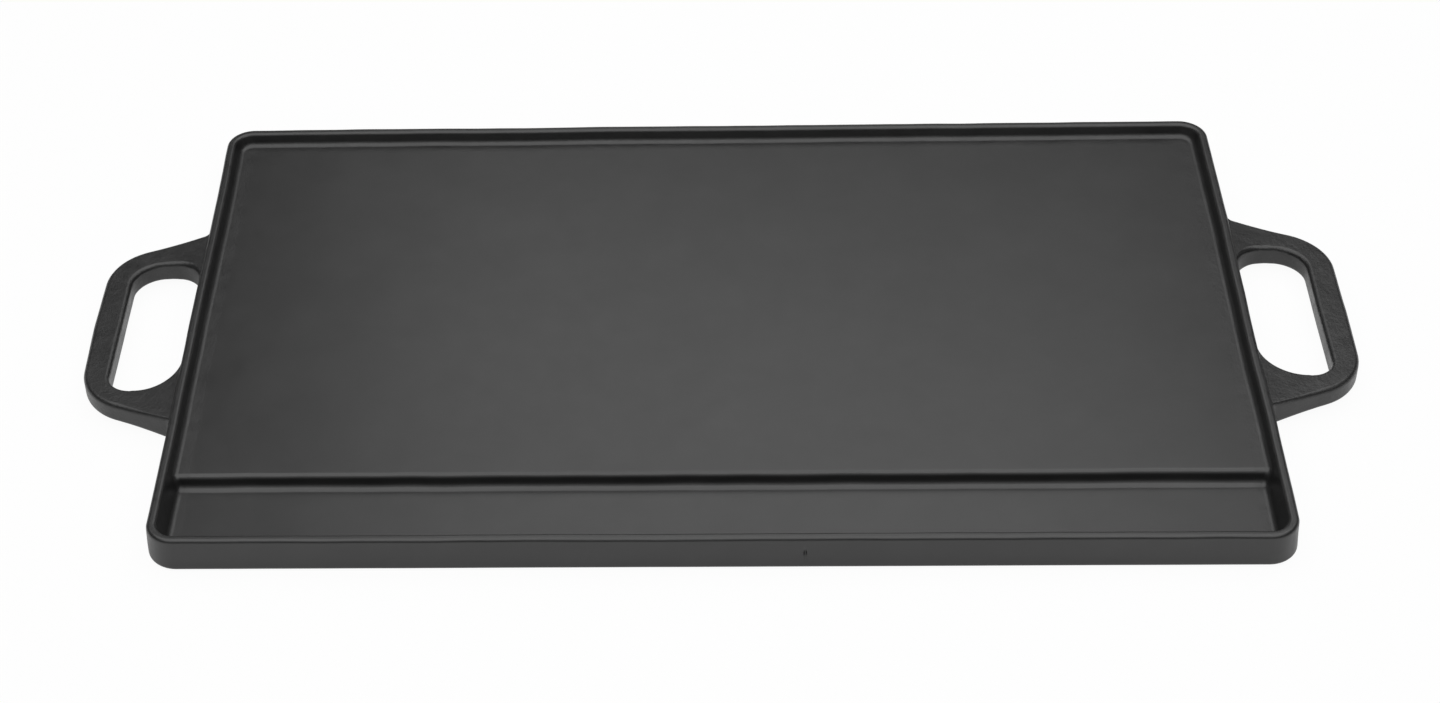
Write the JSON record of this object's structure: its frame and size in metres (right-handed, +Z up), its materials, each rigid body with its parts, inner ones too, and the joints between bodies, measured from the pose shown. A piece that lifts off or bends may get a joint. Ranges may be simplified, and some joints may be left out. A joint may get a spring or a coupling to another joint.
{
  "type": "camp griddle plate",
  "caption": "Rectangular cast-iron griddle plate with a low rim, a flat cooking surface, a grease trough along its front and a loop handle at each end.",
  "frame": {"origin": "under the middle of the plate, on the surface it rests on", "axes": "+X through the right handle, +Y to the back, away from the grease trough, +Z up from the resting face"},
  "size_m": [0.508, 0.2644, 0.0146],
  "materials": {
    "cooking_iron": "seasoned, smooth satin black",
    "rough_iron": "seasoned, as cast, satin black"
  },
  "bodies": {
    "root": {"cooking_plate": "cooking_iron", "grease_trough": "cooking_iron", "back_rim": "rough_iron", "left_rim": "rough_iron", "right_rim": "rough_iron", "left_handle": "rough_iron", "right_handle": "rough_iron", "grill_bars": "rough_iron"}
  },
  "joints": []
}
